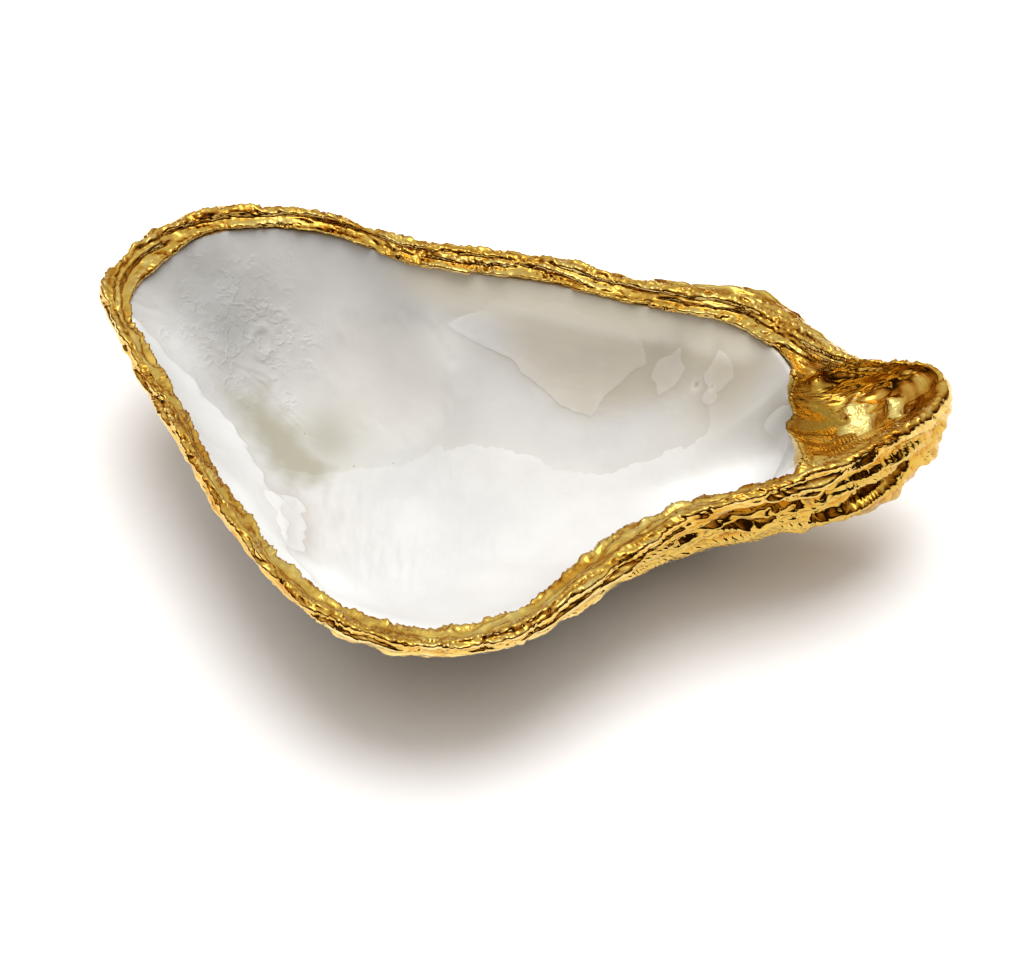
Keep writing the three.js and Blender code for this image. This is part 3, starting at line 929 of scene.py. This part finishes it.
def evenly_across(path, count):
    """Rows at even distances across the band, with each row's distance from its start."""
    steps = np.linalg.norm(np.diff(path, axis=0), axis=-1)
    length = np.vstack([np.zeros(path.shape[1]), np.cumsum(steps, axis=0)])
    wanted = np.linspace(0, 1, count)[:, None] * length[-1]
    even = np.empty((count, path.shape[1], 3))
    for i in range(path.shape[1]):
        for axis in range(3):
            even[:, i, axis] = np.interp(wanted[:, i], length[:, i], path[:, i, axis])
    return even, wanted, length


c = rim_columns(GILT_COLUMNS)
start, end = plating_start(c), plating_end(c)
path = [hollow(c, start + (1 - start) * f) for f in np.linspace(0, 1, HOLLOW_STEPS + 1)[:-1]]
path += [lip(c, s) for s in np.linspace(0, 1, LIP_STEPS)]
path += [shoulder(c, w) for w in np.linspace(0, 1, SHOULDER_STEPS + 1)[1:]]
path += [outside(c, 1 - f * (1 - end)) for f in np.linspace(0, 1, OUTSIDE_STEPS + 1)[1:]]
front, from_start, length = evenly_across(np.array(path), GILT_ROWS)
front_x, front_y, front_z = front[..., 0], front[..., 1], front[..., 2]
to_lip, to_crest_line, whole = length[HOLLOW_STEPS], length[HOLLOW_STEPS + LIP_STEPS - 1], length[-1]
across = from_start - to_crest_line
lip_width = to_crest_line - to_lip
to_edge = np.minimum(from_start, whole - from_start)
around = c.rim_length / (2 * np.pi)
band = np.stack([around * np.cos(c.turn) + 0 * across, around * np.sin(c.turn) + 0 * across, across], -1)
print("gilding rows and columns:", front.shape[:2], "band width, mm:", round(float(np.median(whole)), 1))

# %% The channel of the lip, the hinge plate and the beak's folds
VALLEY_DEPTH, INNER_EDGE = 0.55, 0.45      # the lip is a channel between its raised inner edge and the crest
PLATE_LUMPS = [(43.2, 9.0, 1.6, -1.6), (51.3, 0.9, 0.9, -0.8), (52.2, 6.6, 1.8, -0.8),
               (44, -4, 2.2, -0.5)]        # x, y, size and height
PLATE_FLATS = [([(46.2, 0.4), (47.0, 2.4), (46.6, 3.9), (47.3, 5.4), (48.7, 6.5), (50.3, 5.2), (51.0, 2.2),
                 (51.6, 0.0), (49, -0.8)], 22.6, 3.0),
               ([(53.0, 4.4), (54.3, 4.8), (55.3, 3.4), (55.4, 0.8), (54.0, 0.4), (52.9, 2.2)], 24.8, 2.6)]
FLAT_SLOPE = 0.4              # each flat is an outline, a height and the y of that height, and tips forward
WALL_FOLDS = [([(23, 22.6), (27, 24), (31, 24.8), (35, 25.2), (39.8, 24.3)], 0.9, 1.7),
              ([(47.4, 20.6), (50, 21.1), (53, 21.8), (55.2, 23.1)], 0.9, 1.7),
              ([(28, 20.5), (32, 21.8), (36, 22)], 0.6, 0.8),
              ([(42, 19.4), (45.7, 20.8)], 0.6, 0.9)]   # x and z along the beak's near wall, width and depth
WALL_LUMPS = [(41.5, 24.6, 1.6, 0.8), (34, 19.5, 2.4, 0.9), (40, 16, 2.0, 0.8),
              (50, 18, 2.0, 0.7)]          # x, z, size and height

plate = smooth((-across - 3.0) / 3) * hinge(c)
inner_crest = bump(across + lip_width, 0.8)
dents = sum(height * spot(front_x, front_y, lump_x, lump_y, size)
            for lump_x, lump_y, size, height in PLATE_LUMPS)
flaked = np.zeros_like(across)
for outline, height, at_y in PLATE_FLATS:
    depth = depth_inside(outline, front_x, front_y) + 0.5 * wobble(front_x, front_y, 1.6, 83)
    here = smooth(depth / 0.6 + 0.5)
    dents += here * (height + FLAT_SLOPE * (front_y - at_y) - front_z - dents)
    flaked = np.maximum(flaked, here)
channel = INNER_EDGE * inner_crest - VALLEY_DEPTH * np.sin(np.pi * np.clip(-across / lip_width, 0, 1))
dents = dents * plate + channel * (1 - plate)
near_wall = (across > 0) & (front_y < 0)
folded = np.zeros_like(across)
for points, width, depth in WALL_FOLDS:
    here = near_wall * bump(distance_to(points, front_x, front_z), width)
    dents -= depth * here
    folded = np.maximum(folded, here)
for lump_x, lump_z, size, height in WALL_LUMPS:
    dents += near_wall * height * spot(front_x, front_z, lump_x, lump_z, size)
dents -= near_wall * 0.9 * smooth((across - 2) / 3) * smooth((front_x - 8) / 8) * smooth((46 - front_x) / 8)
print("dents, mm:", round(float(dents.min()), 1), "to", round(float(dents.max()), 1))

# %% The gilding's skin
near_rim = smooth((front_x + 8) / 12) * (front_y < 0)
ridged = strongest(smooth(across + 1), 0.75 + 0.25 * near_rim) * (1 - 0.85 * plate) * (1 - 0.8 * folded)
ragged_line = 47.5 - front_x + 1.2 * wobble(front_x, front_y, 3, 81)
on_front = {
    "across": across, "to_edge": to_edge, "band": band, "plate": plate, "dents": dents, "ridged": ridged,
    "crests": bump(across, 0.9) * (1 - plate) + inner_crest,
    "steep": beak(c) * smooth(across / 3),
    "calm": strongest(0.5 * plate, 0.8 * smooth(1 - across - lip_width) * hinge(c)),
    # Painted shade in the beak's folds and where the plating starts under the hinge plate.
    "deep": 0.6 * strongest(folded, smooth(1.6 - from_start) * hinge(c)),
    "dull": plate * (1 - flaked) * smooth(ragged_line / 1.5) * smooth((front_y + 3) / 3),
    "flaked": flaked * plate,
    "striated": plate * (1 - flaked) * spot(front_x, front_y, 47, -4, 3.2),
    "visible": np.ones_like(across)}
way_back = np.linspace(0, 1, GILT_BACK_ROWS + 2)[1:-1, None, None]
under = front[-1] + (front[0] - front[-1]) * way_back
attributes = {name: np.concatenate([values, np.zeros((GILT_BACK_ROWS, *values.shape[1:]))])
              for name, values in on_front.items()}
gilding = skin("gilding", np.vstack([front, under]), attributes, ring=True)
print("gilding skin:", len(attributes), "attributes")

# %% Ridges of the gilding
GILT_RELIEF = {"Ridge spacing": 1.25, "Ridge height": 0.8, "Ridge tilt": 1.2, "Wander": 2.4, "Scallop": 0.9,
               "Lump height": 1.9, "Leaf height": 0.15, "Wrinkle height": 0.6, "Bead height": 1.0,
               "Facet height": 0.35, "Step height": 0.22, "Crack depth": 0.25, "Nodule height": 0.12,
               "Plating": -0.1, "Ragged": 0.8}


def on_band(tree, sizes):
    """The place along the rim, as two numbers, and across the band, divided by sizes in mm."""
    return stretch(tree, stored(tree, "band", "FLOAT_VECTOR"), sizes)


def band_swing(tree, sizes, detail, seed):
    return swing(tree, on_band(tree, sizes), detail, seed=seed)


def in_places(tree, sizes, seed, low, high):
    """1 in some places of the band and 0 in others."""
    return ramp(tree, noise(tree, on_band(tree, sizes), 2.0, seed=seed), low, high)


def ridge_heights(tree, given):
    """Heights of the ridges and of the thin leaves on them, and how far up a ridge a point is."""
    wander = add(tree, times(tree, band_swing(tree, (15, 15, 9), 1.0, 21.0), given["Wander"]),
                 times(tree, band_swing(tree, (3.0, 3.0, 6.0), 1.5, 22.0), given["Scallop"]))
    lines = add(tree, math(tree, "DIVIDE", stored(tree, "across"), given["Ridge spacing"]), wander)
    ridge_seed = times(tree, math(tree, "FLOOR", lines), 3.7)
    share = math(tree, "FRACT", lines)
    pillow = math(tree, "SINE", times(tree, math(tree, "POWER", share, 0.8), np.pi))
    pillow = math(tree, "POWER", pillow, 0.6)
    swell = ramp(tree, noise(tree, on_band(tree, (9, 9, 9)), 2.0, seed=ridge_seed), 0.34, 0.64, 0.15, 1.0)
    tilt = swing(tree, on_band(tree, (6, 6, 20)), 1.0, seed=add(tree, ridge_seed, 50.0))
    tilted = times(tree, math(tree, "SUBTRACT", share, 0.5), tilt, given["Ridge tilt"])
    ridged_here, steep_here = stored(tree, "ridged"), stored(tree, "steep")
    ridges = times(tree, pillow, add(tree, times(tree, swell, given["Ridge height"]), tilted), ridged_here,
                   add(tree, 1.0, times(tree, steep_here, 0.9)))
    leaves = add(tree, lines, times(tree, band_swing(tree, (5, 5, 2), 2.0, 23.0), 0.8))
    leaves = math(tree, "ABSOLUTE", math(tree, "SINE", times(tree, leaves, 3.0 * np.pi)))
    leaves = times(tree, leaves, in_places(tree, (8, 8, 3), 26.0, 0.45, 0.6), given["Leaf height"],
                   ridged_here, add(tree, 1.0, steep_here))
    return add(tree, ridges, leaves), times(tree, pillow, swell)


print("sizes of the gilding's relief:", len(GILT_RELIEF))

# %% Lumps, beads, facets and nodules of the gilding
FACET_SIZE = (4.2, 4.2, 1.9)


def band_cells(tree, sizes, feature="F1", output="Distance"):
    """Scattered cells of a size in mm on the band, with wandering borders."""
    warp = node(tree, "ShaderNodeTexNoise", {"Vector": on_band(tree, (4, 4, 4)), "Detail": 1.0})
    moves = {0: stored(tree, "band", "FLOAT_VECTOR"), 1: scaled(tree, warp.outputs["Color"], 3.0)}
    warped = node(tree, "ShaderNodeVectorMath", moves, operation="ADD").outputs[0]
    return node(tree, "ShaderNodeTexVoronoi", {"Vector": stretch(tree, warped, sizes), "Scale": 1.0},
                feature=feature).outputs[output]


def lump_heights(tree, given):
    """Heights of all that isn't a ridge, and where the cracks between facets are."""
    rough = rest(tree, stored(tree, "calm"))
    off_plate = rest(tree, times(tree, stored(tree, "plate"), 0.85))
    wrinkles = times(tree, band_swing(tree, (3.5, 3.5, 0.9), 2.0, 30.0), given["Wrinkle height"], off_plate)
    lumps = times(tree, band_swing(tree, (6, 6, 3.4), 2.0, 24.0), given["Lump height"], rough)
    round_bead = math(tree, "SUBTRACT", 0.45, math(tree, "POWER", band_cells(tree, (2.0, 2.0, 1.3)), 2.0))
    beads = times(tree, round_bead, stored(tree, "crests"), in_places(tree, (4, 4, 4), 28.0, 0.25, 0.5),
                  given["Bead height"])
    some = times(tree, in_places(tree, (9, 9, 6), 29.0, 0.45, 0.6), rough,
                 rest(tree, times(tree, stored(tree, "steep"), 0.8)))
    domed = math(tree, "SUBTRACT", 0.4, math(tree, "POWER", band_cells(tree, FACET_SIZE), 2.0))
    chance = node(tree, "ShaderNodeSeparateXYZ", {0: band_cells(tree, FACET_SIZE, output="Color")}).outputs[0]
    border = band_cells(tree, FACET_SIZE, "DISTANCE_TO_EDGE")
    crack = times(tree, ramp(tree, border, 0.0, 0.09, 1.0, 0.0), some)
    facets = add(tree, times(tree, domed, given["Facet height"], some),
                 times(tree, math(tree, "SUBTRACT", chance, 0.5), given["Step height"], some),
                 times(tree, crack, given["Crack depth"], -1.0))
    nodules = times(tree, ramp(tree, band_cells(tree, (1.0, 1.0, 0.8)), 0.15, 0.6, 1.0, 0.0),
                    in_places(tree, (6, 6, 3), 25.0, 0.5, 0.65), given["Nodule height"], rough)
    return add(tree, wrinkles, lumps, beads, facets, nodules), crack


print("facets, mm:", FACET_SIZE)

# %% Relief of the gilding
BORDER_DIP = 0.6                           # how far its border dips under the pearl and the crust, in mm


def gilding_tree():
    tree, given = relief_tree("gilding_relief", GILT_RELIEF)
    ridges, up_ridge = ridge_heights(tree, given)
    lumps, crack = lump_heights(tree, given)
    ragged = add(tree, band_swing(tree, (1.6, 1.6, 2.4), 2.0, 27.0),
                 band_swing(tree, (4.5, 4.5, 6), 1.0, 31.0))
    ragged = times(tree, ragged, given["Ragged"], rest(tree, stored(tree, "calm")))
    out = ramp(tree, add(tree, stored(tree, "to_edge"), ragged), 0.15, 0.5)
    lift = add(tree, -BORDER_DIP, times(tree, out, add(tree, given["Plating"], BORDER_DIP)))
    height = add(tree, lift, times(tree, add(tree, ridges, lumps, stored(tree, "dents")), out))
    # Masks for the finish: painted shade in grooves, cracks and folds, and a painted highlight on crests.
    groove_painted_shade = times(tree, ramp(tree, up_ridge, 0.03, 0.35, 1.0, 0.0), stored(tree, "ridged"))
    groove_painted_shade = larger(tree, larger(tree, groove_painted_shade, times(tree, crack, 0.8)), stored(tree, "deep"))
    # Painted highlight: the crest mask pales the gold on the tops of ridges.
    crest = times(tree, ramp(tree, up_ridge, 0.5, 0.9), stored(tree, "ridged"))
    close_tree(tree, given, times(tree, height, stored(tree, "visible")), {"groove_painted_shade": groove_painted_shade, "crest": crest})
    return tree


apply_relief(gilding, gilding_tree(), GILT_RELIEF, GILDING)

# %% [markdown]
# ## Place in the frame
# All three skins belong to the one solid: they move with it, and they show in its place.

# %% Tie the skins to the solid
for piece, slot in ((pearl, "pearl"), (crust, "crust"), (gilding, "gilding")):
    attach(piece, "root")
    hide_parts("oyster_shell")
print("pieces:", [piece.name for piece in (pearl, crust, gilding)])

# %% [markdown]
# ## The studio
# The shell stands on a white table under a broad soft light, a little behind it. The light itself isn't
# mirrored, because it would burn out the gold. What polished gold mirrors is the room: a bright ceiling with
# a window in it, and warm dark sides, which give the gold its sparkle and its dark streaks.

# %% Table
TABLE_SIZE, TABLE_WHITE, TABLE_GLOW = 6.0, 0.93, 0.03


def table():
    mesh = bpy.data.meshes.new("table")
    half = TABLE_SIZE / 2
    corners = [(-half, -half, 0), (half, -half, 0), (half, half, 0), (-half, half, 0)]
    mesh.from_pydata(corners, [], [(0, 1, 2, 3)])
    made = bpy.data.objects.new("table", mesh)
    bpy.context.scene.collection.objects.link(made)
    material, _, shader = finish("table_white", Roughness=0.9, Specular_IOR_Level=0.0,
                                 Emission_Strength=TABLE_GLOW)
    shader.inputs["Base Color"].default_value = (TABLE_WHITE, TABLE_WHITE, TABLE_WHITE, 1)
    shader.inputs["Emission Color"].default_value = (1, 0.94, 0.84, 1)
    mesh.materials.append(material)
    return made


floor = table()
print("table, m:", TABLE_SIZE)

# %% Key light
KEY_AT, KEY_SIZE, KEY_POWER = (0.05, 0.27, 0.92), 0.85, 9.3


def key_light():
    lamp = bpy.data.lights.new("key", "AREA")
    lamp.shape = "DISK"
    lamp.size = KEY_SIZE
    lamp.energy = KEY_POWER
    made = bpy.data.objects.new("key", lamp)
    made.location = KEY_AT
    made.visible_glossy = False
    direction = -np.array(KEY_AT)
    made.rotation_euler = (np.arctan2(np.hypot(*direction[:2]), -direction[2]), 0,
                           np.arctan2(direction[0], -direction[1]) + np.pi)
    bpy.context.scene.collection.objects.link(made)
    return made


key_light()
print("key light, W:", KEY_POWER)

# %% Room
# A stretch of the room is given as from and to, and how bright it is at both.
ROOM_BRIGHT_SIDE = (0.0, 0.35, 0.937)      # where the room is brightest: above, a little behind the shell
ROOM_SOFT, CEILING_SOFT = (0.0, 1.0, 0.03, 0.62), (0.82, 0.99, 0.0, 1.5)
ROOM_MIRRORED, CEILING_MIRRORED = (0.05, 0.85, 0.02, 0.72), (0.8, 0.97, 0.0, 0.3)    # as the gold shows it
WINDOW_SIDE, WINDOW = (0.0, -0.17, 0.985), (0.95, 0.99, 0.0, 2.2)
ROOM_DARK_COLOUR = (1.0, 0.56, 0.22)
MIRRORED_DARK, MIRRORED_BRIGHT = (1.0, 0.5, 0.12), (0.96, 0.96, 0.75)


def room():
    world = bpy.data.worlds.new("room")
    bpy.context.scene.world = world
    world.use_nodes = True
    tree = world.node_tree
    back = next(n for n in tree.nodes if n.type == "BACKGROUND")
    direction = node(tree, "ShaderNodeTexCoord").outputs["Generated"]
    up = node(tree, "ShaderNodeSeparateXYZ", {0: direction}).outputs[2]
    facing = toward(tree, direction, ROOM_BRIGHT_SIDE)
    ray = node(tree, "ShaderNodeLightPath").outputs
    seen, mirrored = ray["Is Camera Ray"], ray["Is Glossy Ray"]
    twice_smooth = ramp(tree, ramp(tree, facing, 0.0, 1.0), *ROOM_SOFT)
    lit = add(tree, twice_smooth, ramp(tree, up, *CEILING_SOFT))
    shown = add(tree, ramp(tree, facing, *ROOM_MIRRORED), ramp(tree, up, *CEILING_MIRRORED),
                ramp(tree, toward(tree, direction, WINDOW_SIDE), *WINDOW))
    light = add(tree, lit, times(tree, mirrored, math(tree, "SUBTRACT", shown, lit)))
    tree.links.new(larger(tree, light, seen), back.inputs["Strength"])
    white = larger(tree, ramp(tree, facing, 0.1, 0.8), seen)
    colour = colour_mix(tree, white, ROOM_DARK_COLOUR, (1.0, 1.0, 1.0))
    gold_sees = colour_mix(tree, ramp(tree, facing, 0.35, 0.9), MIRRORED_DARK, MIRRORED_BRIGHT)
    tree.links.new(colour_mix(tree, mirrored, colour, gold_sees), back.inputs["Color"])
    return world


print("room:", len(room().node_tree.nodes), "nodes")
bpy.context.scene.view_settings.view_transform = "Standard"

# %% [markdown]
# ## The camera
# The photo looks down at about 52 degrees, with the beak to the right and a long lens.

# %% Camera
CAMERA_RISE, CAMERA_AWAY = 52, 0.62
CAMERA_AT = np.array([-1.4, -0.3, 12]) * MM
PIXELS_A_MM, PICTURE_WIDTH = 6.8, 1024


def camera():
    lens = bpy.data.cameras.new("camera")
    lens.sensor_width = 36
    lens.sensor_fit = "HORIZONTAL"
    lens.lens = PIXELS_A_MM * CAMERA_AWAY / MM / PICTURE_WIDTH * lens.sensor_width
    made = bpy.data.objects.new("camera", lens)
    rise = np.radians(CAMERA_RISE)
    made.location = CAMERA_AT + CAMERA_AWAY * np.array([0, -np.cos(rise), np.sin(rise)])
    made.rotation_euler = (np.pi / 2 - rise, 0, 0)
    bpy.context.scene.collection.objects.link(made)
    bpy.context.scene.camera = made
    return made


print("lens, mm:", round(camera().data.lens, 1))
